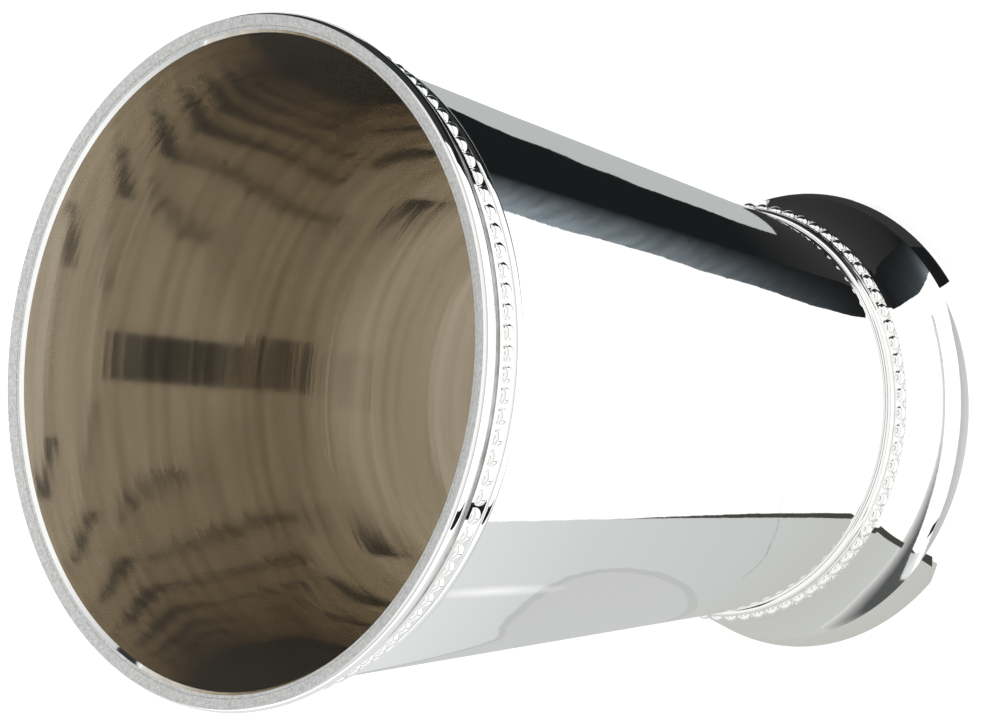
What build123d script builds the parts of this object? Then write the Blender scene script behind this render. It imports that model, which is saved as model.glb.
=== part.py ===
# Julep cup: a tapered metal beaker with a beaded moulding at the rim and another above a hollow flared foot.
# Millimetres, +Z up, origin at the centre of the foot on the table plane.

import os
from math import pi

from build123d import *

os.makedirs("parts", exist_ok=True)

# Cup wall: one tapered sheet, described by its outer cone; it bells out a little at the mouth
WALL_TOP_Z = 111.85
WALL_CONE_TOP_RADIUS = 38.91
WALL_BOTTOM_RADIUS = 26.88
WALL_SHEET = 0.70
MOUTH_OPENING = 0.45
MOUTH_BELL_HEIGHT = 12.5

# Cup floor: a disc let into the wall, which laps a little below it
FLOOR_LIFT = 8.0
FLOOR_THICKNESS = 1.0
WALL_LAP = 0.40

# Solder gap left between parts that are soldered face to face
SOLDER_GAP = 0.03

# Lip, ground flat over the wall's edge and the rim band together, with a small bevel inside
LIP_WIDTH = 1.25
LIP_SLOPE = 0.31
MOUTH_BEVEL_WIDTH = 0.32
MOUTH_BEVEL_DEPTH = 0.50

# Rim band below the lip: a rounded band, a cove and a fillet
BAND_BULGE = 0.40
BAND_UNDERCUT = 0.25
BAND_HEIGHT = 2.25
COVE_DEPTH = 0.45
COVE_HEIGHT = 1.50
RIM_FILLET_STANDING = 1.20
RIM_FILLET_HEIGHT = 0.50

# An arc that leaves a straight line smoothly sags by a quarter of the distance it ends up from the line
TANGENT_SAG_SHARE = 0.25

# A bead's pole is turned to point straight out of the cup
BEAD_POLE_OUTWARD = (0, 90, 0)

# Rim beading: a strip carrying a row of beads that are trimmed flat above and below
RIM_BEAD_RADIUS = 1.14
RIM_BEAD_GAP = 0.005
RIM_BEAD_TURN = 2.21
RIM_BEAD_SINK = 0.40
RIM_BEAD_HALF_HEIGHT = 0.95
RIM_STRIP_THICKNESS = 0.70
RIM_STRIP_MARGIN = 0.36

# Rim wire: a plain half round wire under the beads
RIM_WIRE_HEIGHT = 2.17
RIM_WIRE_STANDING = 0.90

# Foot: a spun hollow shell, a band leaning in below, a concave flare above it and a collar round the wall
FOOT_BAND_HEIGHT = 4.20
FOOT_BAND_LEAN = 1.20
FOOT_EDGE_EASE = 0.20
FOOT_SHEET = 1.0
FLARE_HEIGHT = 10.15
FLARE_REACH = 3.75
FLARE_SAG = 0.85
COLLAR_HEIGHT = 1.10
COLLAR_WIDTH = 1.45

# Foot beading: a strip carrying a row of beads that are trimmed flat above and below
FOOT_BEAD_RADIUS = 1.185
FOOT_BEAD_GAP = 0.005
FOOT_BEAD_TURN = 4.18
FOOT_BEAD_SINK = 0.45
FOOT_BEAD_HALF_HEIGHT = 0.80
FOOT_STRIP_THICKNESS = 0.90
FOOT_STRIP_MARGIN = 0.03

# Foot wire: a plain half round wire above the foot beads
FOOT_WIRE_HEIGHT = 1.60
FOOT_WIRE_STANDING = 0.75


def wall_outer_radius(height):
    """Radius of the outside of the tapered wall at a height below the rim band."""
    share = (height - wall_bottom_z) / (WALL_TOP_Z - wall_bottom_z)
    return WALL_BOTTOM_RADIUS + share * (WALL_CONE_TOP_RADIUS - WALL_BOTTOM_RADIUS)


def wall_inner_radius(height):
    """Radius of the inside of the tapered wall at a height below the rim band."""
    return wall_outer_radius(height) - WALL_SHEET


def seat_radius(height):
    """Bore radius of a part soldered round the outside of the wall."""
    return wall_outer_radius(height) + SOLDER_GAP


def sagged_middle(start, end, sag):
    """Middle point of an arc that leaves its chord by a sag, on the left of the way from start to end."""
    run = end[0] - start[0]
    rise = end[1] - start[1]
    length = (run ** 2 + rise ** 2) ** 0.5
    middle_radius = (start[0] + end[0]) / 2 - sag * rise / length
    middle_z = (start[1] + end[1]) / 2 + sag * run / length
    return (middle_radius, middle_z)


def bead_count(ring_radius, bead_radius, gap):
    """How many beads fit round a ring with at least the gap between neighbours."""
    return int(2 * pi * ring_radius / (2 * bead_radius + gap))


# Heights, worked out from the table up to the foot wire and from the lip down to the rim wire
floor_bottom_z = FLOOR_LIFT
floor_top_z = FLOOR_LIFT + FLOOR_THICKNESS
wall_bottom_z = FLOOR_LIFT - WALL_LAP
flare_top_z = FOOT_BAND_HEIGHT + FLARE_HEIGHT
foot_top_z = flare_top_z + COLLAR_HEIGHT
foot_strip_bottom_z = foot_top_z + SOLDER_GAP
foot_strip_top_z = foot_strip_bottom_z + 2 * (FOOT_BEAD_HALF_HEIGHT + FOOT_STRIP_MARGIN)
foot_bead_z = (foot_strip_bottom_z + foot_strip_top_z) / 2
foot_wire_bottom_z = foot_strip_top_z + SOLDER_GAP
foot_wire_top_z = foot_wire_bottom_z + FOOT_WIRE_HEIGHT
lip_outer_z = WALL_TOP_Z + LIP_SLOPE * (SOLDER_GAP + LIP_WIDTH)
band_bottom_z = lip_outer_z - BAND_HEIGHT
rim_fillet_top_z = band_bottom_z - COVE_HEIGHT
rim_fillet_bottom_z = rim_fillet_top_z - RIM_FILLET_HEIGHT
rim_strip_top_z = rim_fillet_bottom_z - SOLDER_GAP
rim_strip_bottom_z = rim_strip_top_z - 2 * (RIM_BEAD_HALF_HEIGHT + RIM_STRIP_MARGIN)
rim_bead_z = (rim_strip_bottom_z + rim_strip_top_z) / 2
rim_wire_top_z = rim_strip_bottom_z - SOLDER_GAP
rim_wire_bottom_z = rim_wire_top_z - RIM_WIRE_HEIGHT

# Cup wall: a cone that bells out at the mouth, bevelled inside and ground to the slope of the lip
mouth_outer = (WALL_CONE_TOP_RADIUS + MOUTH_OPENING, WALL_TOP_Z)
mouth_inner_radius = mouth_outer[0] - WALL_SHEET
bevel_top_radius = mouth_inner_radius + MOUTH_BEVEL_WIDTH
bevel_top = (bevel_top_radius, WALL_TOP_Z - LIP_SLOPE * (mouth_outer[0] - bevel_top_radius))
bevel_bottom = (mouth_inner_radius, bevel_top[1] - MOUTH_BEVEL_DEPTH)
bell_bottom_z = bevel_bottom[1] - MOUTH_BELL_HEIGHT
bell_bottom = (wall_inner_radius(bell_bottom_z), bell_bottom_z)
bell_opening = mouth_inner_radius - wall_inner_radius(bevel_bottom[1])
bell_middle = sagged_middle(bell_bottom, bevel_bottom, bell_opening * TANGENT_SAG_SHARE)
with BuildPart() as cup_wall:
    with BuildSketch(Plane.XZ):
        with BuildLine():
            Polyline(
                bell_bottom,
                (wall_inner_radius(wall_bottom_z), wall_bottom_z),
                (wall_outer_radius(wall_bottom_z), wall_bottom_z),
                (wall_outer_radius(rim_fillet_bottom_z), rim_fillet_bottom_z),
                mouth_outer,
                bevel_top,
                bevel_bottom,
            )
            ThreePointArc(bevel_bottom, bell_middle, bell_bottom)
        make_face()
    revolve(axis=Axis.Z)
cup_wall.part.label = "cup_wall"
export_step(cup_wall.part, "parts/cup_wall.step")

# Cup floor, a disc whose edge follows the taper of the wall
with BuildPart() as cup_floor:
    with BuildSketch(Plane.XZ):
        with BuildLine():
            Polyline(
                (0, floor_bottom_z),
                (wall_inner_radius(floor_bottom_z) - SOLDER_GAP, floor_bottom_z),
                (wall_inner_radius(floor_top_z) - SOLDER_GAP, floor_top_z),
                (0, floor_top_z),
                close=True,
            )
        make_face()
    revolve(axis=Axis.Z)
cup_floor.part.label = "cup_floor"
export_step(cup_floor.part, "parts/cup_floor.step")

# Rim band: lip, rounded band, cove and fillet in one moulding, bored to the mouth of the wall
lip_inner = (mouth_outer[0] + SOLDER_GAP, WALL_TOP_Z + LIP_SLOPE * SOLDER_GAP)
lip_outer = (lip_inner[0] + LIP_WIDTH, lip_outer_z)
band_crown = (lip_outer[0] + BAND_BULGE, (lip_outer_z + band_bottom_z) / 2)
band_bottom = (lip_outer[0] - BAND_UNDERCUT, band_bottom_z)
rim_fillet_radius = seat_radius(rim_fillet_bottom_z) + RIM_FILLET_STANDING
rim_fillet_top = (rim_fillet_radius, rim_fillet_top_z)
cove_middle = sagged_middle(rim_fillet_top, band_bottom, COVE_DEPTH)
with BuildPart() as rim_band:
    with BuildSketch(Plane.XZ):
        with BuildLine():
            Polyline(
                (seat_radius(rim_fillet_bottom_z), rim_fillet_bottom_z),
                lip_inner,
                lip_outer,
            )
            ThreePointArc(lip_outer, band_crown, band_bottom)
            ThreePointArc(band_bottom, cove_middle, rim_fillet_top)
            Polyline(
                rim_fillet_top,
                (rim_fillet_radius, rim_fillet_bottom_z),
                (seat_radius(rim_fillet_bottom_z), rim_fillet_bottom_z),
            )
        make_face()
    revolve(axis=Axis.Z)
rim_band.part.label = "rim_band"
export_step(rim_band.part, "parts/rim_band.step")

# Rim beading: balls round the strip, cut back to the height of a bead, with the strip added
rim_strip_radius = seat_radius(rim_bead_z) + RIM_STRIP_THICKNESS
rim_bead_ring_radius = rim_strip_radius - RIM_BEAD_SINK
rim_bead_count = bead_count(rim_bead_ring_radius, RIM_BEAD_RADIUS, RIM_BEAD_GAP)
with BuildPart() as rim_beading:
    with Locations((0, 0, rim_bead_z)):
        with PolarLocations(rim_bead_ring_radius, rim_bead_count, start_angle=RIM_BEAD_TURN):
            Sphere(RIM_BEAD_RADIUS, rotation=BEAD_POLE_OUTWARD)
    with BuildSketch(Plane.XZ):
        with BuildLine():
            Polyline(
                (rim_bead_ring_radius, rim_bead_z - RIM_BEAD_HALF_HEIGHT),
                (rim_bead_ring_radius, rim_bead_z + RIM_BEAD_HALF_HEIGHT),
                (rim_bead_ring_radius + 2 * RIM_BEAD_RADIUS, rim_bead_z + RIM_BEAD_HALF_HEIGHT),
                (rim_bead_ring_radius + 2 * RIM_BEAD_RADIUS, rim_bead_z - RIM_BEAD_HALF_HEIGHT),
                close=True,
            )
        make_face()
    revolve(axis=Axis.Z, mode=Mode.INTERSECT)
    with BuildSketch(Plane.XZ):
        with BuildLine():
            Polyline(
                (seat_radius(rim_strip_bottom_z), rim_strip_bottom_z),
                (seat_radius(rim_strip_top_z), rim_strip_top_z),
                (rim_strip_radius, rim_strip_top_z),
                (rim_strip_radius, rim_strip_bottom_z),
                close=True,
            )
        make_face()
    revolve(axis=Axis.Z)
rim_beading.part.label = "rim_beading"
export_step(rim_beading.part, "parts/rim_beading.step")

# Rim wire: half round, flat side on the wall
rim_wire_middle_z = (rim_wire_bottom_z + rim_wire_top_z) / 2
rim_wire_crown = (seat_radius(rim_wire_middle_z) + RIM_WIRE_STANDING, rim_wire_middle_z)
rim_wire_top = (seat_radius(rim_wire_top_z), rim_wire_top_z)
rim_wire_bottom = (seat_radius(rim_wire_bottom_z), rim_wire_bottom_z)
with BuildPart() as rim_wire:
    with BuildSketch(Plane.XZ):
        with BuildLine():
            Line(rim_wire_top, rim_wire_bottom)
            ThreePointArc(rim_wire_bottom, rim_wire_crown, rim_wire_top)
        make_face()
    revolve(axis=Axis.Z)
rim_wire.part.label = "rim_wire"
export_step(rim_wire.part, "parts/rim_wire.step")

# Foot wire: half round, flat side on the wall
foot_wire_middle_z = (foot_wire_bottom_z + foot_wire_top_z) / 2
foot_wire_crown = (seat_radius(foot_wire_middle_z) + FOOT_WIRE_STANDING, foot_wire_middle_z)
foot_wire_top = (seat_radius(foot_wire_top_z), foot_wire_top_z)
foot_wire_bottom = (seat_radius(foot_wire_bottom_z), foot_wire_bottom_z)
with BuildPart() as foot_wire:
    with BuildSketch(Plane.XZ):
        with BuildLine():
            Line(foot_wire_top, foot_wire_bottom)
            ThreePointArc(foot_wire_bottom, foot_wire_crown, foot_wire_top)
        make_face()
    revolve(axis=Axis.Z)
foot_wire.part.label = "foot_wire"
export_step(foot_wire.part, "parts/foot_wire.step")

# Foot beading: balls round the strip, cut back to the height of a bead, with the strip added
foot_strip_radius = seat_radius(foot_bead_z) + FOOT_STRIP_THICKNESS
foot_bead_ring_radius = foot_strip_radius - FOOT_BEAD_SINK
foot_bead_count = bead_count(foot_bead_ring_radius, FOOT_BEAD_RADIUS, FOOT_BEAD_GAP)
with BuildPart() as foot_beading:
    with Locations((0, 0, foot_bead_z)):
        with PolarLocations(foot_bead_ring_radius, foot_bead_count, start_angle=FOOT_BEAD_TURN):
            Sphere(FOOT_BEAD_RADIUS, rotation=BEAD_POLE_OUTWARD)
    with BuildSketch(Plane.XZ):
        with BuildLine():
            Polyline(
                (foot_bead_ring_radius, foot_bead_z - FOOT_BEAD_HALF_HEIGHT),
                (foot_bead_ring_radius, foot_bead_z + FOOT_BEAD_HALF_HEIGHT),
                (foot_bead_ring_radius + 2 * FOOT_BEAD_RADIUS, foot_bead_z + FOOT_BEAD_HALF_HEIGHT),
                (foot_bead_ring_radius + 2 * FOOT_BEAD_RADIUS, foot_bead_z - FOOT_BEAD_HALF_HEIGHT),
                close=True,
            )
        make_face()
    revolve(axis=Axis.Z, mode=Mode.INTERSECT)
    with BuildSketch(Plane.XZ):
        with BuildLine():
            Polyline(
                (seat_radius(foot_strip_bottom_z), foot_strip_bottom_z),
                (seat_radius(foot_strip_top_z), foot_strip_top_z),
                (foot_strip_radius, foot_strip_top_z),
                (foot_strip_radius, foot_strip_bottom_z),
                close=True,
            )
        make_face()
    revolve(axis=Axis.Z)
foot_beading.part.label = "foot_beading"
export_step(foot_beading.part, "parts/foot_beading.step")

# Foot: outer skin and inner skin are the same curve one sheet apart, closed by the collar on the wall
flare_top = (seat_radius(foot_top_z) + COLLAR_WIDTH, flare_top_z)
foot_base_radius = flare_top[0] + FLARE_REACH
shoulder = (foot_base_radius - FOOT_BAND_LEAN, FOOT_BAND_HEIGHT)
flare_middle = sagged_middle(shoulder, flare_top, FLARE_SAG)
inner_shoulder = (shoulder[0] - FOOT_SHEET, FOOT_BAND_HEIGHT - FOOT_SHEET / 2)
inner_flare_top = (flare_top[0] - FOOT_SHEET, flare_top_z - FOOT_SHEET / 2)
inner_flare_middle = sagged_middle(inner_shoulder, inner_flare_top, FLARE_SAG)
with BuildPart() as foot_shell:
    with BuildSketch(Plane.XZ):
        with BuildLine():
            Polyline(
                (foot_base_radius - FOOT_SHEET, 0),
                (foot_base_radius - FOOT_EDGE_EASE, 0),
                (foot_base_radius, FOOT_EDGE_EASE),
                shoulder,
            )
            ThreePointArc(shoulder, flare_middle, flare_top)
            Polyline(
                flare_top,
                (flare_top[0], foot_top_z),
                (seat_radius(foot_top_z), foot_top_z),
                (seat_radius(inner_flare_top[1]), inner_flare_top[1]),
                inner_flare_top,
            )
            ThreePointArc(inner_flare_top, inner_flare_middle, inner_shoulder)
            Line(inner_shoulder, (foot_base_radius - FOOT_SHEET, 0))
        make_face()
    revolve(axis=Axis.Z)
foot_shell.part.label = "foot_shell"
export_step(foot_shell.part, "parts/foot_shell.step")
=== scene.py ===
# %% [markdown]
# # A julep cup in polished silver plate
# The cup is a tapered sheet of metal with a beaded moulding soldered round its rim and another round its
# foot. Polished metal has almost no colour of its own: it looks like what stands round it. So the lesson
# has three parts: mix the finishes, turn each piece on a lathe of its own profile, then set up the table and
# the cards that the metal mirrors.

# %% Load the frame
from math import atan2, cos, pi, radians, sin

import bmesh
import bpy
from mathutils import Matrix, Vector


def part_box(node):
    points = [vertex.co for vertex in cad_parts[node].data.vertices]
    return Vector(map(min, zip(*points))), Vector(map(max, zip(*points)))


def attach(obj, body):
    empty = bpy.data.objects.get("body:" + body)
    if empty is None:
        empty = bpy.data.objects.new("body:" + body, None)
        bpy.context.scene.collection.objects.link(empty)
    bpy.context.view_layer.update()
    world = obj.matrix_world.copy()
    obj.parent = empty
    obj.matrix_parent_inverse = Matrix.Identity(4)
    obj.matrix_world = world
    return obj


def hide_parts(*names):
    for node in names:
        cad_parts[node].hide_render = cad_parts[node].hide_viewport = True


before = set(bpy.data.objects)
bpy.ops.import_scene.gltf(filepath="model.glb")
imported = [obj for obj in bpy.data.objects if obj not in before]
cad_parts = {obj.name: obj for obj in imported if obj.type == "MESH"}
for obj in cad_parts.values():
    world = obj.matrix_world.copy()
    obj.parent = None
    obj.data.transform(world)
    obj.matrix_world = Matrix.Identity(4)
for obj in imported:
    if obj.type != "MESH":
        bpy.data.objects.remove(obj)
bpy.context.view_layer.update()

scene = bpy.context.scene

# %% [markdown]
# ## The camera
# The photograph looks down into the mouth from about 0.4 m away, with the cup's axis lying across the frame.
# A camera that is rolled by nearly a quarter turn does the same while the cup stands upright on its foot. Its
# place and its lens come from fitting the rim, the bead rows and the foot as circles in the picture.

# %% Camera
MM = 0.001
SENSOR_WIDTH = 36.0
PICTURE_WIDTH = 1000
FOCAL_PIXELS = 2929.5
CAMERA_PLACE = Vector((254.39, 0.0, 343.41)) * MM
CAMERA_AIM = Vector((-1.50, 3.05, 63.45)) * MM
CAMERA_ROLL = radians(-83.66)
NEAREST_SEEN = 10 * MM

camera_data = bpy.data.cameras.new("photo_camera")
camera_data.sensor_width = SENSOR_WIDTH
camera_data.lens = FOCAL_PIXELS * SENSOR_WIDTH / PICTURE_WIDTH
camera_data.clip_start = NEAREST_SEEN
camera = bpy.data.objects.new("photo_camera", camera_data)
scene.collection.objects.link(camera)
facing = (CAMERA_AIM - CAMERA_PLACE).to_track_quat("-Z", "Y").to_matrix().to_4x4()
camera.matrix_world = Matrix.Translation(CAMERA_PLACE) @ facing @ Matrix.Rotation(CAMERA_ROLL, 4, "Z")
scene.camera = camera
scene.view_settings.view_transform = "Standard"
print("lens", round(camera_data.lens, 2), "mm, distance", round((CAMERA_AIM - CAMERA_PLACE).length, 3), "m")

# %% [markdown]
# ## Finishes
# Four finishes: a mirror polish outside, a satin inside that a spinning lathe left with fine rings, a fine
# matt flat on the lip, and a dull groove under it whose dark colour is painted shade of the cove. All are
# metal, so the base colour tints the mirror image and the roughness blurs it. Small waves in the bump keep
# long reflections from being perfectly straight, as hand polishing does. Inside the cup a ray is mirrored
# up to a dozen times before it finds its way out, so mirror rays are let go on for that long.

# %% Mirror bounces
MIRROR_BOUNCES = 12
scene.cycles.glossy_bounces = MIRROR_BOUNCES
print("mirror bounces:", MIRROR_BOUNCES)


# %% Node helpers
def add(tree, kind, settings=None, **sockets):
    """Adds a node; settings are its properties, and sockets are values or outputs for its inputs."""
    node = tree.nodes.new(kind)
    for key, value in (settings or {}).items():
        setattr(node, key, value)
    for key, value in sockets.items():
        socket = node.inputs[key.replace("_", " ")]
        if isinstance(value, bpy.types.NodeSocket):
            tree.links.new(value, socket)
        else:
            socket.default_value = value
    return node


def object_place(tree):
    """Where a point lies on its own object, in metres."""
    return add(tree, "ShaderNodeTexCoord").outputs["Object"]


def ranged(tree, value, low, high):
    """A 0 to 1 value mapped to the range from low to high."""
    node = add(tree, "ShaderNodeMapRange", To_Min=low, To_Max=high, Value=value)
    return node.outputs["Result"]


def two_tone(tree, value, first_colour, last_colour, start=0.0, end=1.0):
    """A colour that goes from the first to the last one while a value goes from start to end."""
    ramp = add(tree, "ShaderNodeValToRGB", Fac=value)
    first, last = ramp.color_ramp.elements
    first.position = start
    first.color = (*first_colour, 1)
    last.position = end
    last.color = (*last_colour, 1)
    return ramp.outputs["Color"]


# %% Metal helpers
def metal(name):
    """A new metal material, with its node tree and its shader."""
    material = bpy.data.materials.new(name)
    material.use_nodes = True
    tree = material.node_tree
    shader = tree.nodes["Principled BSDF"]
    shader.inputs["Metallic"].default_value = 1.0
    return material, tree, shader


def roughen(tree, shader, value, low, high):
    """Lets a 0 to 1 value move the roughness from low to high."""
    tree.links.new(ranged(tree, value, low, high), shader.inputs["Roughness"])


def emboss(tree, shader, height, strength, depth):
    """Gives the surface small waves, from a height value and a depth in metres."""
    bump = add(tree, "ShaderNodeBump", Strength=strength, Distance=depth, Height=height)
    tree.links.new(bump.outputs["Normal"], shader.inputs["Normal"])


# %% Mirror polish
SILVER = (0.955, 0.955, 0.945, 1)
SMEARS_PER_METRE = 55.0
POLISH_ROUGHNESS = (0.012, 0.055)
RIPPLES_PER_METRE = 120.0
RIPPLE_STRENGTH = 0.06
RIPPLE_DEPTH = 0.3 * MM


def polished_silver():
    """Bright silver with faint smears and the ripples that hand polishing leaves."""
    material, tree, shader = metal("polished_silver")
    shader.inputs["Base Color"].default_value = SILVER
    place = object_place(tree)
    smears = add(tree, "ShaderNodeTexNoise", Vector=place, Scale=SMEARS_PER_METRE, Detail=4.0, Roughness=0.6)
    roughen(tree, shader, smears.outputs["Fac"], *POLISH_ROUGHNESS)
    ripples = add(tree, "ShaderNodeTexNoise", Vector=place, Scale=RIPPLES_PER_METRE, Detail=5.0)
    emboss(tree, shader, ripples.outputs["Fac"], RIPPLE_STRENGTH, RIPPLE_DEPTH)
    return material


# %% Spun satin
SATIN = (0.80, 0.768, 0.71)
SATIN_DULL = (0.66, 0.625, 0.565)
SATIN_METAL = 0.97
SATIN_ROUGHNESS = (0.02, 0.08)
RINGS_PER_METRE = (4.0, 4.0, 450.0)
RING_STRENGTH = 0.08
RING_DEPTH = 0.2 * MM


def spun_satin():
    """Warm, slightly tarnished silver with the fine rings of spinning."""
    material, tree, shader = metal("spun_satin")
    shader.inputs["Metallic"].default_value = SATIN_METAL
    rings = add(tree, "ShaderNodeMapping", Vector=object_place(tree), Scale=RINGS_PER_METRE)
    noise = add(tree, "ShaderNodeTexNoise", Vector=rings.outputs["Vector"], Scale=1.0, Detail=3.0)
    lines = noise.outputs["Fac"]
    roughen(tree, shader, lines, *SATIN_ROUGHNESS)
    tint = two_tone(tree, lines, SATIN_DULL, SATIN, start=0.30, end=0.55)
    tree.links.new(tint, shader.inputs["Base Color"])
    emboss(tree, shader, lines, RING_STRENGTH, RING_DEPTH)
    return material


# %% Matt lip
LIP_LIGHT = (0.74, 0.75, 0.74)
LIP_DARK = (0.50, 0.50, 0.49)
LIP_ROUGHNESS = (0.35, 0.6)
GRAINS_PER_METRE = 2600.0
GRAIN_STRENGTH = 0.25
GRAIN_DEPTH = 0.1 * MM


def matt_lip():
    """Silver that was ground flat and left with a fine grain."""
    material, tree, shader = metal("matt_lip")
    noise = add(tree, "ShaderNodeTexNoise", Vector=object_place(tree), Scale=GRAINS_PER_METRE, Detail=3.0,
                Roughness=0.7)
    grain = noise.outputs["Fac"]
    tint = two_tone(tree, grain, LIP_DARK, LIP_LIGHT, start=0.30, end=0.65)
    tree.links.new(tint, shader.inputs["Base Color"])
    roughen(tree, shader, grain, *LIP_ROUGHNESS)
    emboss(tree, shader, grain, GRAIN_STRENGTH, GRAIN_DEPTH)
    return material


# %% Dull groove, coloured with painted shade
# Both greys are painted shade: the cove is coloured much darker than the polish round it.
GROOVE_LIGHT = (0.50, 0.50, 0.48)
GROOVE_DARK = (0.26, 0.26, 0.25)
GROOVE_ROUGHNESS = (0.35, 0.15)
MOTTLE_PER_METRE = 300.0


def painted_shade_groove():
    """Dark silver that paints the shade of the cove, mottled at random and darker where it is rougher."""
    material, tree, shader = metal("painted_shade_groove")
    noise = add(tree, "ShaderNodeTexNoise", Vector=object_place(tree), Scale=MOTTLE_PER_METRE, Detail=4.0)
    mottle = noise.outputs["Fac"]
    tint = two_tone(tree, mottle, GROOVE_DARK, GROOVE_LIGHT, start=0.35, end=0.65)
    tree.links.new(tint, shader.inputs["Base Color"])
    roughen(tree, shader, mottle, *GROOVE_ROUGHNESS)
    return material


# %% Make the finishes
polish = polished_silver()
satin = spun_satin()
matt = matt_lip()
groove = painted_shade_groove()
print("finishes:", [m.name for m in (polish, satin, matt, groove)])

# %% [markdown]
# ## Turning pieces
# Every piece but the beads is round, so each is a profile turned about the axis, as on a lathe. A Screw
# modifier could do it, but a mesh built ring by ring lets each stretch of the profile carry its own finish
# and keeps corners sharp: a stretch is smooth inside itself, and its seam to the next one is a sharp edge.

# %% Profile stretches
ARC_STEPS = 14


def line(start, end, steps=1):
    """Points of a straight stretch from start to end, as (radius, height) in millimetres."""
    return [
        (start[0] + (end[0] - start[0]) * i / steps, start[1] + (end[1] - start[1]) * i / steps)
        for i in range(steps + 1)
    ]


def arc(start, middle, end):
    """Points of the circular arc that goes from start through middle to end."""
    ax, ay = start
    bx, by = middle
    cx, cy = end
    d = 2 * (ax * (by - cy) + bx * (cy - ay) + cx * (ay - by))
    sa, sb, sc = ax * ax + ay * ay, bx * bx + by * by, cx * cx + cy * cy
    centre_x = (sa * (by - cy) + sb * (cy - ay) + sc * (ay - by)) / d
    centre_y = (sa * (cx - bx) + sb * (ax - cx) + sc * (bx - ax)) / d
    size = ((ax - centre_x) ** 2 + (ay - centre_y) ** 2) ** 0.5
    first = atan2(ay - centre_y, ax - centre_x)
    through = (atan2(by - centre_y, bx - centre_x) - first) % (2 * pi)
    sweep = (atan2(cy - centre_y, cx - centre_x) - first) % (2 * pi)
    if through > sweep:
        sweep -= 2 * pi
    angles = [first + sweep * i / ARC_STEPS for i in range(ARC_STEPS + 1)]
    return [(centre_x + size * cos(angle), centre_y + size * sin(angle)) for angle in angles]


def sagged_middle(start, end, sag):
    """Middle point of an arc that leaves its chord by a sag, on the left of the way from start to end."""
    run, rise = end[0] - start[0], end[1] - start[1]
    length = (run * run + rise * rise) ** 0.5
    return ((start[0] + end[0]) / 2 - sag * rise / length, (start[1] + end[1]) / 2 + sag * run / length)


# %% Turning a profile
TURN_STEPS = 360


def profile_ring(bm, radius, height):
    """One ring of points about the axis; on the axis all of them are the same point."""
    if radius == 0:
        return [bm.verts.new((0, 0, height * MM))] * TURN_STEPS
    turns = [2 * pi * i / TURN_STEPS for i in range(TURN_STEPS)]
    return [bm.verts.new((radius * MM * cos(turn), radius * MM * sin(turn), height * MM)) for turn in turns]


def turned(bm, stretches):
    """Adds a closed profile, given as (points, finish number) stretches, turned about the Z axis."""
    rings = []
    for points, finish in stretches:
        for k, (radius, height) in enumerate(points[:-1]):
            rings.append((profile_ring(bm, radius, height), finish, k == 0))
    for n, (ring, finish, opens_stretch) in enumerate(rings):
        following = rings[(n + 1) % len(rings)][0]
        for i in range(TURN_STEPS):
            j = (i + 1) % TURN_STEPS
            corners = []
            for vert in (ring[i], ring[j], following[j], following[i]):
                if vert not in corners:
                    corners.append(vert)
            if len(corners) < 3:
                continue
            face = bm.faces.new(corners)
            face.material_index = finish
            face.smooth = True
        if opens_stretch and ring[0] is not ring[1]:
            for i in range(TURN_STEPS):
                edge = bm.edges.get((ring[i], ring[(i + 1) % TURN_STEPS]))
                if edge:
                    edge.smooth = False


# %% Finished pieces
def finished_piece(name, bm, node, materials):
    """Makes the object for a CAD node from a mesh under construction."""
    bmesh.ops.recalc_face_normals(bm, faces=bm.faces)
    mesh = bpy.data.meshes.new(name)
    bm.to_mesh(mesh)
    bm.free()
    for material in materials:
        mesh.materials.append(material)
    piece = bpy.data.objects.new(name, mesh)
    scene.collection.objects.link(piece)
    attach(piece, "root")
    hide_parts(node)
    low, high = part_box(node)
    print(name, len(mesh.vertices), "vertices, CAD height", round((high[2] - low[2]) / MM, 2), "mm")


def heights(node):
    """Lowest and highest height of a CAD node in millimetres."""
    low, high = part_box(node)
    return low[2] / MM, high[2] / MM


# %% [markdown]
# ## Wall and floor
# The wall is a cone of thin sheet that opens a little more at the mouth. Its outside takes the polish and its
# inside the satin, and its top edge is ground flat with the lip. The floor is a disc let into it, just above
# the foot's hollow. Heights come from the CAD nodes, so that the dressed pieces stay with the solids.

# %% Wall profile
WALL_CONE_TOP_RADIUS = 38.91
WALL_BOTTOM_RADIUS = 26.88
WALL_SHEET = 0.70
MOUTH_OPENING = 0.45
MOUTH_BELL_HEIGHT = 12.5
TANGENT_SAG_SHARE = 0.25
MOUTH_BEVEL_WIDTH = 0.32
MOUTH_BEVEL_DEPTH = 0.50
LIP_SLOPE = 0.31

wall_bottom_z, wall_top_z = heights("cup_wall")
rim_band_bottom_z, lip_outer_z = heights("rim_band")


def wall_outer(height):
    """A point on the outside of the tapered wall below the rim band."""
    share = (height - wall_bottom_z) / (wall_top_z - wall_bottom_z)
    return (WALL_BOTTOM_RADIUS + share * (WALL_CONE_TOP_RADIUS - WALL_BOTTOM_RADIUS), height)


def wall_inner(height):
    """A point on the inside of the tapered wall below the rim band."""
    return (wall_outer(height)[0] - WALL_SHEET, height)


mouth_outer = (WALL_CONE_TOP_RADIUS + MOUTH_OPENING, wall_top_z)
mouth_inner_radius = mouth_outer[0] - WALL_SHEET
bevel_top_radius = mouth_inner_radius + MOUTH_BEVEL_WIDTH
bevel_top = (bevel_top_radius, wall_top_z - LIP_SLOPE * (mouth_outer[0] - bevel_top_radius))
bevel_bottom = (mouth_inner_radius, bevel_top[1] - MOUTH_BEVEL_DEPTH)
bell_bottom = wall_inner(bevel_bottom[1] - MOUTH_BELL_HEIGHT)
bell_opening = mouth_inner_radius - wall_inner(bevel_bottom[1])[0]
bell_middle = sagged_middle(bell_bottom, bevel_bottom, bell_opening * TANGENT_SAG_SHARE)
print("mouth", round(2 * mouth_inner_radius, 2), "mm across inside, widened by",
      round(bell_opening, 2), "mm on each side")

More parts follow.
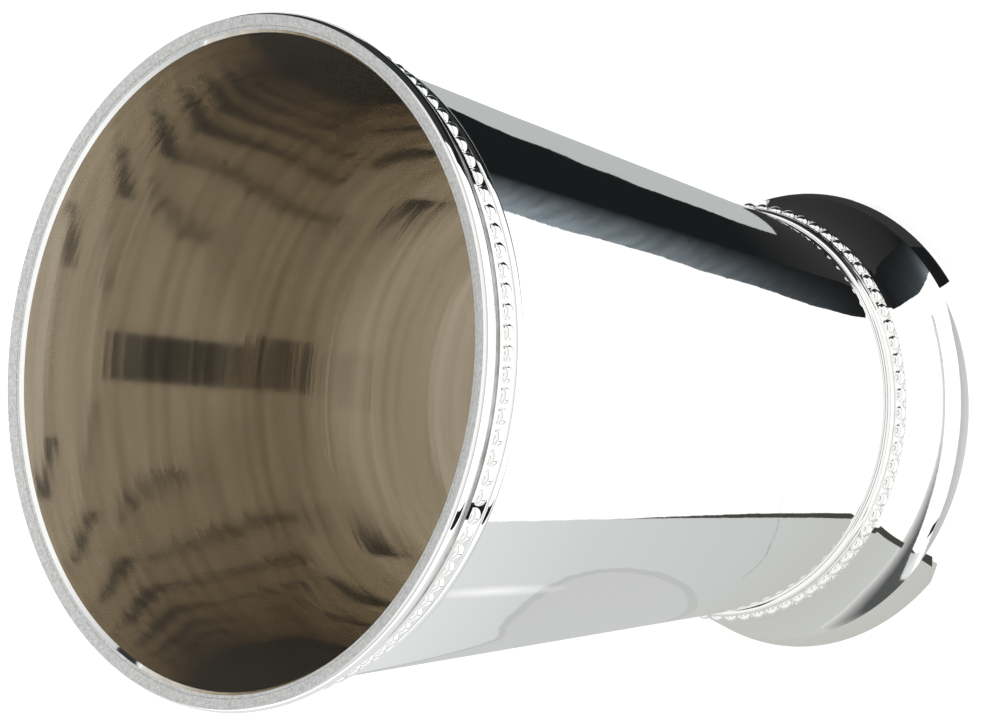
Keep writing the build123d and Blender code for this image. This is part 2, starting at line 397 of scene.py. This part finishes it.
# %% Wall
WALL_STEPS = 24
OUTSIDE, INSIDE, GROUND = 0, 1, 2

inside = arc(bevel_bottom, bell_middle, bell_bottom)[:-1]
inside += line(bell_bottom, wall_inner(wall_bottom_z), WALL_STEPS)
bm = bmesh.new()
turned(bm, [
    (line(wall_outer(wall_bottom_z), wall_outer(rim_band_bottom_z), WALL_STEPS), OUTSIDE),
    (line(wall_outer(rim_band_bottom_z), mouth_outer), OUTSIDE),
    (line(mouth_outer, bevel_top), GROUND),
    (line(bevel_top, bevel_bottom), OUTSIDE),
    (inside, INSIDE),
    (line(wall_inner(wall_bottom_z), wall_outer(wall_bottom_z)), OUTSIDE),
])
finished_piece("tapered_wall", bm, "cup_wall", [polish, satin, matt])

# %% Floor
SOLDER_GAP = 0.03
FLOOR_STEPS = 6
ONE_FINISH = 0

floor_bottom_z, floor_top_z = heights("cup_floor")
floor_top = (wall_inner(floor_top_z)[0] - SOLDER_GAP, floor_top_z)
floor_bottom = (wall_inner(floor_bottom_z)[0] - SOLDER_GAP, floor_bottom_z)
bm = bmesh.new()
turned(bm, [
    (line((0, floor_bottom_z), floor_bottom, FLOOR_STEPS), ONE_FINISH),
    (line(floor_bottom, floor_top), ONE_FINISH),
    (line(floor_top, (0, floor_top_z), FLOOR_STEPS), ONE_FINISH),
    (line((0, floor_top_z), (0, floor_bottom_z)), ONE_FINISH),
])
finished_piece("let_in_floor", bm, "cup_floor", [satin])

# %% [markdown]
# ## Rim moulding
# From the top: a flat matt lip that falls a little inwards, a rounded polished band, a cove, a thin fillet,
# the beads on their strip, and a plain half round wire that closes the moulding on the wall.

# %% Rim band
LIP_WIDTH = 1.25
LIP_STEPS = 4
BAND_BULGE = 0.40
BAND_UNDERCUT = 0.25
BAND_HEIGHT = 2.25
COVE_DEPTH = 0.45
RIM_FILLET_STANDING = 1.20
RIM_FILLET_HEIGHT = 0.50
POLISHED, MATT, DULL = 0, 1, 2


def seat(height, standing=0.0):
    """A point on, or standing out from, the seat of a ring soldered round the wall."""
    return (wall_outer(height)[0] + SOLDER_GAP + standing, height)


lip_inner = (mouth_outer[0] + SOLDER_GAP, wall_top_z + LIP_SLOPE * SOLDER_GAP)
lip_outer = (lip_inner[0] + LIP_WIDTH, lip_outer_z)
band_bottom_z = lip_outer_z - BAND_HEIGHT
band_crown = (lip_outer[0] + BAND_BULGE, (lip_outer_z + band_bottom_z) / 2)
band_bottom = (lip_outer[0] - BAND_UNDERCUT, band_bottom_z)
fillet_bottom = seat(rim_band_bottom_z, RIM_FILLET_STANDING)
fillet_top = (fillet_bottom[0], rim_band_bottom_z + RIM_FILLET_HEIGHT)
cove_middle = sagged_middle(fillet_top, band_bottom, COVE_DEPTH)
bm = bmesh.new()
turned(bm, [
    (line(lip_inner, lip_outer, LIP_STEPS), MATT),
    (arc(lip_outer, band_crown, band_bottom), POLISHED),
    # The cove takes the groove finish, whose dark colour is painted shade.
    (arc(band_bottom, cove_middle, fillet_top), DULL),
    (line(fillet_top, fillet_bottom), POLISHED),
    (line(fillet_bottom, seat(rim_band_bottom_z)), POLISHED),
    (line(seat(rim_band_bottom_z), lip_inner), POLISHED),
])
finished_piece("rim_moulding", bm, "rim_band", [polish, matt, groove])

# %% [markdown]
# ## Beads
# A bead is a low oval dome pressed up out of its strip, longer round the cup than it is high. Only the dome
# is made: rings of points from its outermost pole back to just under the strip's face. The strip is turned
# like the other rings, and both rows are made by one function.

# %% A row of domes
BEAD_RINGS = 9
BEAD_SPOKES = 20
BEAD_TUCK = 0.10


def bead_row(bm, count, turn, height, strip_radius, standing, half_length, half_height):
    """Adds a ring of oval domes that stand out from the strip's face and are tucked a little below it."""
    foot_radius = strip_radius - BEAD_TUCK
    for n in range(count):
        place = Matrix.Rotation(radians(turn) + 2 * pi * n / count, 4, "Z")
        pole = bm.verts.new(place @ Vector(((strip_radius + standing) * MM, 0, height * MM)))
        before = None
        for r in range(1, BEAD_RINGS + 1):
            slope = pi / 2 * r / BEAD_RINGS
            out = foot_radius + (standing + BEAD_TUCK) * cos(slope)
            ring = []
            for s in range(BEAD_SPOKES):
                spoke = 2 * pi * s / BEAD_SPOKES
                along = half_length * sin(slope) * cos(spoke)
                up = half_height * sin(slope) * sin(spoke)
                ring.append(bm.verts.new(place @ (Vector((out, along, height + up)) * MM)))
            for s in range(BEAD_SPOKES):
                t = (s + 1) % BEAD_SPOKES
                if before is None:
                    face = bm.faces.new((pole, ring[s], ring[t]))
                else:
                    face = bm.faces.new((before[s], ring[s], ring[t], before[t]))
                face.smooth = True
            before = ring


# %% A strip with its beads
def beading(name, node, strip_thickness, count, turn, standing, half_length, half_height):
    """A strip round the wall at the heights of its CAD node, with the row of beads that it carries."""
    bottom_z, top_z = heights(node)
    bead_z = (bottom_z + top_z) / 2
    face_radius = seat(bead_z, strip_thickness)[0]
    bm = bmesh.new()
    turned(bm, [
        (line(seat(top_z), (face_radius, top_z)), ONE_FINISH),
        (line((face_radius, top_z), (face_radius, bottom_z)), ONE_FINISH),
        (line((face_radius, bottom_z), seat(bottom_z)), ONE_FINISH),
        (line(seat(bottom_z), seat(top_z)), ONE_FINISH),
    ])
    bead_row(bm, count, turn, bead_z, face_radius, standing, half_length, half_height)
    finished_piece(name, bm, node, [polish])


# %% Rim beads
RIM_STRIP_THICKNESS = 0.70
RIM_BEAD_COUNT = 106
RIM_BEAD_TURN = 2.21
RIM_BEAD_STANDING = 0.74
RIM_BEAD_HALF_LENGTH = 1.06
RIM_BEAD_HALF_HEIGHT = 0.93
beading("rim_beads", "rim_beading", RIM_STRIP_THICKNESS, RIM_BEAD_COUNT, RIM_BEAD_TURN,
        RIM_BEAD_STANDING, RIM_BEAD_HALF_LENGTH, RIM_BEAD_HALF_HEIGHT)

# %% Foot beads
FOOT_STRIP_THICKNESS = 0.90
FOOT_BEAD_COUNT = 75
FOOT_BEAD_TURN = 4.18
FOOT_BEAD_STANDING = 0.735
FOOT_BEAD_HALF_LENGTH = 1.08
FOOT_BEAD_HALF_HEIGHT = 0.79
beading("foot_beads", "foot_beading", FOOT_STRIP_THICKNESS, FOOT_BEAD_COUNT, FOOT_BEAD_TURN,
        FOOT_BEAD_STANDING, FOOT_BEAD_HALF_LENGTH, FOOT_BEAD_HALF_HEIGHT)

# %% [markdown]
# ## Plain wires
# A half round wire is one arc closed by the flat side that lies on the wall.

# %% Wires
RIM_WIRE_STANDING = 0.90
FOOT_WIRE_STANDING = 0.75


def half_round(name, node, standing):
    """A half round wire round the wall at the heights of its CAD node."""
    bottom_z, top_z = heights(node)
    crown = seat((bottom_z + top_z) / 2, standing)
    bm = bmesh.new()
    turned(bm, [
        (arc(seat(bottom_z), crown, seat(top_z)), ONE_FINISH),
        (line(seat(top_z), seat(bottom_z)), ONE_FINISH),
    ])
    finished_piece(name, bm, node, [polish])


half_round("rim_half_round", "rim_wire", RIM_WIRE_STANDING)
half_round("foot_half_round", "foot_wire", FOOT_WIRE_STANDING)

# %% [markdown]
# ## Foot
# The foot is spun from one sheet: a band that stands on the table and leans in, a crease, and a concave flare
# that rises to a narrow collar under the beads. It is hollow and open below.

# %% Foot
FOOT_BAND_HEIGHT = 4.20
FOOT_BAND_LEAN = 1.20
FOOT_BAND_STEPS = 4
FOOT_EDGE_EASE = 0.20
FOOT_SHEET = 1.0
FLARE_REACH = 3.75
FLARE_SAG = 0.85
COLLAR_HEIGHT = 1.10
COLLAR_WIDTH = 1.45

foot_top_z = heights("foot_shell")[1]
collar = seat(foot_top_z, COLLAR_WIDTH)
flare_top = (collar[0], foot_top_z - COLLAR_HEIGHT)
base_radius = collar[0] + FLARE_REACH
base_inner = (base_radius - FOOT_SHEET, 0)
base_edge = (base_radius - FOOT_EDGE_EASE, 0)
band_edge = (base_radius, FOOT_EDGE_EASE)
crease = (base_radius - FOOT_BAND_LEAN, FOOT_BAND_HEIGHT)
inner_crease = (crease[0] - FOOT_SHEET, FOOT_BAND_HEIGHT - FOOT_SHEET / 2)
inner_flare_top = (flare_top[0] - FOOT_SHEET, flare_top[1] - FOOT_SHEET / 2)
bm = bmesh.new()
turned(bm, [
    (line(base_inner, base_edge), ONE_FINISH),
    (line(base_edge, band_edge), ONE_FINISH),
    (line(band_edge, crease, FOOT_BAND_STEPS), ONE_FINISH),
    (arc(crease, sagged_middle(crease, flare_top, FLARE_SAG), flare_top), ONE_FINISH),
    (line(flare_top, collar), ONE_FINISH),
    (line(collar, seat(foot_top_z)), ONE_FINISH),
    (line(seat(foot_top_z), seat(inner_flare_top[1])), ONE_FINISH),
    (line(seat(inner_flare_top[1]), inner_flare_top), ONE_FINISH),
    (arc(inner_flare_top, sagged_middle(inner_crease, inner_flare_top, FLARE_SAG), inner_crease), ONE_FINISH),
    (line(inner_crease, base_inner), ONE_FINISH),
])
finished_piece("spun_foot", bm, "foot_shell", [polish])

# %% [markdown]
# ## Table and studio
# The table is white, and the room round it is an even white light that is a little greyer at the horizon,
# where a room has walls. Light Path tells the table's material which rays look at it: the camera and the
# mirrors see it lifted to full white, and the shadow of the cup stays in it.

# %% Table
TABLE_HALF = 3.0
TABLE_WHITE = (0.82, 0.82, 0.82, 1)
TABLE_ROUGHNESS = 0.7
TABLE_LIFT = 0.40


def calculated(tree, operation, first, second):
    """The result of a Math node on two values."""
    node = add(tree, "ShaderNodeMath", {"operation": operation})
    tree.links.new(first, node.inputs[0])
    tree.links.new(second, node.inputs[1])
    return node.outputs[0]


corners = [
    (-TABLE_HALF, -TABLE_HALF, 0),
    (TABLE_HALF, -TABLE_HALF, 0),
    (TABLE_HALF, TABLE_HALF, 0),
    (-TABLE_HALF, TABLE_HALF, 0),
]
table_mesh = bpy.data.meshes.new("table")
table_mesh.from_pydata(corners, [], [(0, 1, 2, 3)])
table = bpy.data.objects.new("table", table_mesh)
scene.collection.objects.link(table)
table_white = bpy.data.materials.new("table_white")
table_white.use_nodes = True
tree = table_white.node_tree
shader = tree.nodes["Principled BSDF"]
shader.inputs["Base Color"].default_value = TABLE_WHITE
shader.inputs["Roughness"].default_value = TABLE_ROUGHNESS
shader.inputs["Specular IOR Level"].default_value = 0.0
shader.inputs["Emission Color"].default_value = (1, 1, 1, 1)
rays = add(tree, "ShaderNodeLightPath").outputs
seen = calculated(tree, "MAXIMUM", rays["Is Camera Ray"], rays["Is Glossy Ray"])
seen_or_through = calculated(tree, "MAXIMUM", seen, rays["Is Transmission Ray"])
lift = ranged(tree, seen_or_through, 0.0, TABLE_LIFT)
tree.links.new(lift, shader.inputs["Emission Strength"])
table_mesh.materials.append(table_white)
print("table", 2 * TABLE_HALF, "m wide")

# %% Room light
ROOM_LIGHT = 1.0
ROOM_WHITE = (1, 1, 1)
HORIZON_GREY = (0.50, 0.51, 0.51)
HORIZON_TOP = 0.30

world = bpy.data.worlds.new("studio")
scene.world = world
world.use_nodes = True
tree = world.node_tree
background = tree.nodes["Background"]
background.inputs["Strength"].default_value = ROOM_LIGHT
direction = add(tree, "ShaderNodeTexCoord").outputs["Generated"]
rise = add(tree, "ShaderNodeSeparateXYZ", Vector=direction).outputs["Z"]
wall_to_sky = two_tone(tree, rise, HORIZON_GREY, ROOM_WHITE, end=HORIZON_TOP)
tree.links.new(wall_to_sky, background.inputs["Color"])
print("room light", ROOM_LIGHT)

# %% [markdown]
# ## Cards
# A silver cup in an all white studio would be white on white. A photographer lays black and grey cards where
# the metal mirrors them and the lens doesn't see them. Here most are flat outlines just above the table, in
# millimetres about the cup's axis. Only mirror rays can see them, so they cast no shadow.

# %% Card shades
def glowing_card(name):
    """A card material that needs no light of its own, with its node tree and its glow."""
    material = bpy.data.materials.new(name)
    material.use_nodes = True
    tree = material.node_tree
    tree.nodes.remove(tree.nodes["Principled BSDF"])
    glow = add(tree, "ShaderNodeEmission")
    tree.links.new(glow.outputs["Emission"], tree.nodes["Material Output"].inputs["Surface"])
    return material, tree, glow


def even_shade(name, colour):
    """A card of one colour."""
    material, _, glow = glowing_card(name)
    glow.inputs["Color"].default_value = (*colour, 1)
    return material


def distance_from_axis(tree):
    """How far a point of a card on the table is from the cup's axis, in metres."""
    away = add(tree, "ShaderNodeVectorMath", {"operation": "LENGTH"})
    tree.links.new(object_place(tree), away.inputs[0])
    return away.outputs["Value"]


def share_between(tree, distance, start, end):
    """How much of the way from start to end, in millimetres, a distance in metres has come, as 0 to 1."""
    node = add(tree, "ShaderNodeMapRange", From_Min=start * MM, From_Max=end * MM, Value=distance)
    return node.outputs["Result"]


def radial_shade(name, stops):
    """A card colour that changes with the distance from the axis, given as (millimetres, colour) stops."""
    material, tree, glow = glowing_card(name)
    reach = stops[-1][0]
    ramp = add(tree, "ShaderNodeValToRGB", Fac=share_between(tree, distance_from_axis(tree), 0, reach))
    elements = ramp.color_ramp.elements
    while len(elements) < len(stops):
        elements.new(1.0)
    for element, (radius, colour) in zip(elements, stops):
        element.position = radius / reach
        element.color = (*colour, 1)
    tree.links.new(ramp.outputs["Color"], glow.inputs["Color"])
    return material


# %% Placing cards
CARD_LIFT = 0.2
cards_laid = []


def place_card(name, points, faces, material):
    """A card mesh in millimetres that only mirror rays can see."""
    mesh = bpy.data.meshes.new(name)
    mesh.from_pydata([Vector(p) * MM for p in points], [], faces)
    mesh.materials.append(material)
    card = bpy.data.objects.new(name, mesh)
    scene.collection.objects.link(card)
    card.visible_camera = False
    card.visible_diffuse = False
    card.visible_shadow = False
    cards_laid.append(card)
    return card


def place_ribbon(name, pairs, material):
    """A card whose two long edges are given as pairs of points, one pair after the other."""
    points = [point for pair in pairs for point in pair]
    faces = [(i, i + 1, i + 3, i + 2) for i in range(0, len(points) - 2, 2)]
    place_card(name, points, faces, material)


def lay_card(name, outline, material):
    """A card that lies on the table, a little above the one that was laid before it."""
    lift = CARD_LIFT * (1 + len(cards_laid))
    place_card(name, [(x, y, lift) for x, y in outline], [tuple(range(len(outline)))], material)


# %% [markdown]
# On the right of the cup lies a grey card that pales outwards. An arched shade, a soft bright streak and a
# thin dark line along its edge lie on it, and a small black card beside it puts a dark spot in the rim.

# %% Grey card at the right, with its arched shade
RIGHT_GREYS = [
    (30, (0.55, 0.54, 0.51)), (45, (0.58, 0.60, 0.59)), (75, (0.63, 0.66, 0.65)), (105, (0.78, 0.80, 0.79)),
]
ARCH_EDGE_GREY = (0.53, 0.54, 0.53)
ARCH_INSIDE_GREY = (0.59, 0.60, 0.60)

lay_card("right_grey", [
    (28.5, -20), (52, -51), (65, -67.5), (110, -120), (110, -400), (-300, -400), (-300, -60), (-60, -25),
    (-10, -25), (0, -25), (15, -24),
], radial_shade("card_right_grey", RIGHT_GREYS))
lay_card("arched_edge", [
    (0, -46), (10, -50.5), (20, -55.5), (25.5, -60.5), (27, -66), (24.5, -72), (18, -77), (8, -80), (-6, -81),
    (-16, -79), (-30, -72), (-120, -60), (-120, -30), (-25, -33), (-6, -42.5),
], even_shade("card_arched_edge", ARCH_EDGE_GREY))
lay_card("arched_inside", [
    (-1, -47.2), (9, -51.8), (18, -56.8), (23, -61.5), (24.5, -66), (22, -71), (15.5, -75.5), (6, -78.3),
    (-7, -79), (-17, -77), (-30, -70), (-120, -58), (-120, -32), (-25, -34.5), (-7, -43.8),
], even_shade("card_arched_inside", ARCH_INSIDE_GREY))

# %% Bright streak
STREAK_WHITE = (1.0, 1.0, 1.0)
STREAK_CENTRE = (19.5, -86)
STREAK_HALF_LENGTH = 15
STREAK_HALF_WIDTH = 5
STREAK_TURN = -76


def soft_shade(name, colour, half_length, half_width):
    """A card colour that fades out to nothing at an oval edge."""
    material, tree, glow = glowing_card(name)
    glow.inputs["Color"].default_value = (*colour, 1)
    shares = (1 / (half_length * MM), 1 / (half_width * MM), 1.0)
    oval = add(tree, "ShaderNodeMapping", Vector=object_place(tree), Scale=shares)
    inward = add(tree, "ShaderNodeTexGradient", {"gradient_type": "SPHERICAL"}, Vector=oval.outputs["Vector"])
    clear = add(tree, "ShaderNodeBsdfTransparent")
    mix = add(tree, "ShaderNodeMixShader", Fac=inward.outputs["Fac"])
    tree.links.new(clear.outputs["BSDF"], mix.inputs[1])
    tree.links.new(glow.outputs["Emission"], mix.inputs[2])
    tree.links.new(mix.outputs["Shader"], tree.nodes["Material Output"].inputs["Surface"])
    return material


streak_corners = [
    (-STREAK_HALF_LENGTH, -STREAK_HALF_WIDTH, 0),
    (STREAK_HALF_LENGTH, -STREAK_HALF_WIDTH, 0),
    (STREAK_HALF_LENGTH, STREAK_HALF_WIDTH, 0),
    (-STREAK_HALF_LENGTH, STREAK_HALF_WIDTH, 0),
]
streak_white = soft_shade("bright_streak", STREAK_WHITE, STREAK_HALF_LENGTH, STREAK_HALF_WIDTH)
bright_streak = place_card("bright_streak", streak_corners, [(0, 1, 2, 3)], streak_white)
bright_streak.location = Vector((*STREAK_CENTRE, CARD_LIFT * len(cards_laid))) * MM
bright_streak.rotation_euler = (0, 0, radians(STREAK_TURN))

# %% Dark line and small black card
LINE_DARK = (0.06, 0.06, 0.055)
SMALL_BLACK = (0.012, 0.013, 0.014)

lay_card("dark_line", [
    (27.5, -20), (39, -35), (52.5, -51.8), (40, -33.5), (29.5, -20.2),
], even_shade("card_line", LINE_DARK))
lay_card("small_black", [
    (85, -59), (497, -336), (460, -385), (79, -67),
], even_shade("card_small_black", SMALL_BLACK))
print("cards at the right:", [card.name for card in cards_laid])

# %% [markdown]
# The flare of the foot looks out low over the table, and the wall looks down at it steeply. A low strip that
# leans towards the cup is seen broadside by the flare and edge on by the wall, so it draws a streak in the
# foot alone. It goes round the foot from the front left to the right, and grows taller and nearer there.

# %% Leaning strip
STRIP_FROM, STRIP_TO, STRIP_STEP = 40, -84, -4
STRIP_GROWN_AT = -60
STRIP_TAPER = 16
STRIP_LOW, STRIP_TALL = 1.0, 5.0
STRIP_FAR, STRIP_NEAR = 52, 44
STRIP_LEAN, STRIP_LEAN_LOSS = 66.2, 1.0
STRIP_DARK = (0.09, 0.095, 0.095)
STRIP_PALE = (0.80, 0.80, 0.79)
STRIP_SHADE_TOP = 4.4
STRIP_DARK_FROM = 0.6


def strip_shade():
    """Dark along the top edge of the strip, and pale at the table."""
    material, tree, glow = glowing_card("card_strip")
    height = add(tree, "ShaderNodeSeparateXYZ", Vector=object_place(tree)).outputs["Z"]
    share = share_between(tree, height, 0, STRIP_SHADE_TOP)
    tone = two_tone(tree, share, STRIP_PALE, STRIP_DARK, end=STRIP_DARK_FROM)
    tree.links.new(tone, glow.inputs["Color"])
    return material


strip_pairs = []
for degrees in range(STRIP_FROM, STRIP_TO, STRIP_STEP):
    turn = radians(degrees)
    share = min(max(degrees / STRIP_GROWN_AT, 0), 1)
    taper = min((degrees - STRIP_TO) / STRIP_TAPER, 1)
    slant = (STRIP_LOW + (STRIP_TALL - STRIP_LOW) * share) * taper
    lean = radians(STRIP_LEAN - STRIP_LEAN_LOSS * share * share)
    foot_radius = STRIP_FAR - (STRIP_FAR - STRIP_NEAR) * share
    top_radius = foot_radius - slant * cos(lean)
    strip_pairs.append((
        (foot_radius * cos(turn), foot_radius * sin(turn), 0),
        (top_radius * cos(turn), top_radius * sin(turn), slant * sin(lean)),
    ))
place_ribbon("leaning_strip", strip_pairs, strip_shade())
print("leaning strip in", len(strip_pairs) - 1, "steps")

# %% [markdown]
# On the left, a light grey card lies under a black one whose side towards the camera fades to a streaky blue
# grey. Close to the foot the black is a dark grey. A dark board stands behind them for the rim to mirror.

# %% Grey and black cards at the left
LEFT_GREY = (0.48, 0.51, 0.50)
BLACK = (0.010, 0.011, 0.012)
WEDGE_BLACKS = [(30, (0.045, 0.045, 0.044)), (38, (0.028, 0.028, 0.028)), (48, BLACK), (300, BLACK)]

lay_card("left_grey", [
    (8, 28), (0, 60), (-20, 90), (-60, 130), (-150, 180), (-150, 75), (-56, 55), (-12, 36), (-6, 28),
], even_shade("card_left_grey", LEFT_GREY))
lay_card("black_wedge", [
    (22, 17), (27.5, 25), (30, 31), (31, 40), (34, 49), (35.5, 58), (38.5, 67), (42, 78), (43, 86), (48, 97),
    (79, 143), (160, 300), (-120, 300), (-60, 120), (-38, 89.5), (-29, 86), (-23.5, 82), (-20, 75.5),
    (-13.5, 71), (-11, 66), (-6.5, 62), (-1.2, 51), (2.8, 45), (5, 39), (-9, 37), (-10, 26),
], radial_shade("card_black", WEDGE_BLACKS))

# %% Faded side of the black card
FADED = (0.24, 0.28, 0.31)
FADE_FROM, FADE_TO = 18.5, 42.0
FADE_NEAR, FADE_FULL = 34.0, 62.0
STREAKS_PER_METRE = (60.0, 420.0, 1.0)
STREAK_SHARES = (0.35, 1.65)


def faded_shade():
    """Black that fades to a streaky blue grey across the card, and stays black close to the foot."""
    material, tree, glow = glowing_card("card_faded_edge")
    place = object_place(tree)
    across = add(tree, "ShaderNodeSeparateXYZ", Vector=place).outputs["X"]
    fade = share_between(tree, across, FADE_FROM, FADE_TO)
    outward = share_between(tree, distance_from_axis(tree), FADE_NEAR, FADE_FULL)
    clear_of_foot = calculated(tree, "MULTIPLY", fade, outward)
    streaks = add(tree, "ShaderNodeMapping", Vector=place, Scale=STREAKS_PER_METRE)
    noise = add(tree, "ShaderNodeTexNoise", Vector=streaks.outputs["Vector"], Scale=1.0, Detail=3.0)
    strength = ranged(tree, noise.outputs["Fac"], *STREAK_SHARES)
    streaked = calculated(tree, "MULTIPLY", clear_of_foot, strength)
    tree.links.new(two_tone(tree, streaked, BLACK, FADED), glow.inputs["Color"])
    return material


lay_card("faded_edge", [
    (19, 30), (22, 17), (27.5, 25), (30, 31), (32, 40), (35, 49), (36.5, 58), (39.5, 67), (42, 72),
    (43.2, 78), (44, 86), (48, 97), (19, 97),
], faded_shade())

# %% Dark board
BOARD_DARK = (0.03, 0.032, 0.035)
BOARD_Y = 190
BOARD_FRONT_X, BOARD_BACK_X = 90, -260
BOARD_LOW_Z, BOARD_TOP_Z = 0.5, 130

board_corners = [
    (BOARD_FRONT_X, BOARD_Y, BOARD_LOW_Z),
    (BOARD_BACK_X, BOARD_Y, BOARD_LOW_Z),
    (BOARD_BACK_X, BOARD_Y, BOARD_TOP_Z),
    (BOARD_FRONT_X, BOARD_Y, BOARD_TOP_Z),
]
place_card("dark_board", board_corners, [(0, 1, 2, 3)], even_shade("card_board", BOARD_DARK))

# %% [markdown]
# The inside mirrors what hangs over the cup. A ray that enters by the middle of the mouth is mirrored from
# side to side six or seven times and then leaves to the far side or to the near one. A dark card in each of
# those two places, cut as a piece of a ring, puts the dark patch in the middle of the inside.

# %% Hanging cards
HANGING_DARK = (0.05, 0.052, 0.05)
HANGING_HEIGHT = 412
HANGING_STEP = 7

hanging_shade = even_shade("card_hanging", HANGING_DARK)


def hang_card(name, inner, outer, first, last):
    """A dark piece of a ring over the cup, between two radii and two turns in degrees."""
    pairs = []
    for degrees in range(first, last, HANGING_STEP):
        turn = radians(degrees)
        pairs.append([(r * cos(turn), r * sin(turn), HANGING_HEIGHT) for r in (inner, outer)])
    place_ribbon(name, pairs, hanging_shade)


hang_card("hanging_far", inner=345, outer=450, first=145, last=250)
hang_card("hanging_near", inner=190, outer=262, first=-70, last=76)
print("all cards:", [card.name for card in cards_laid])
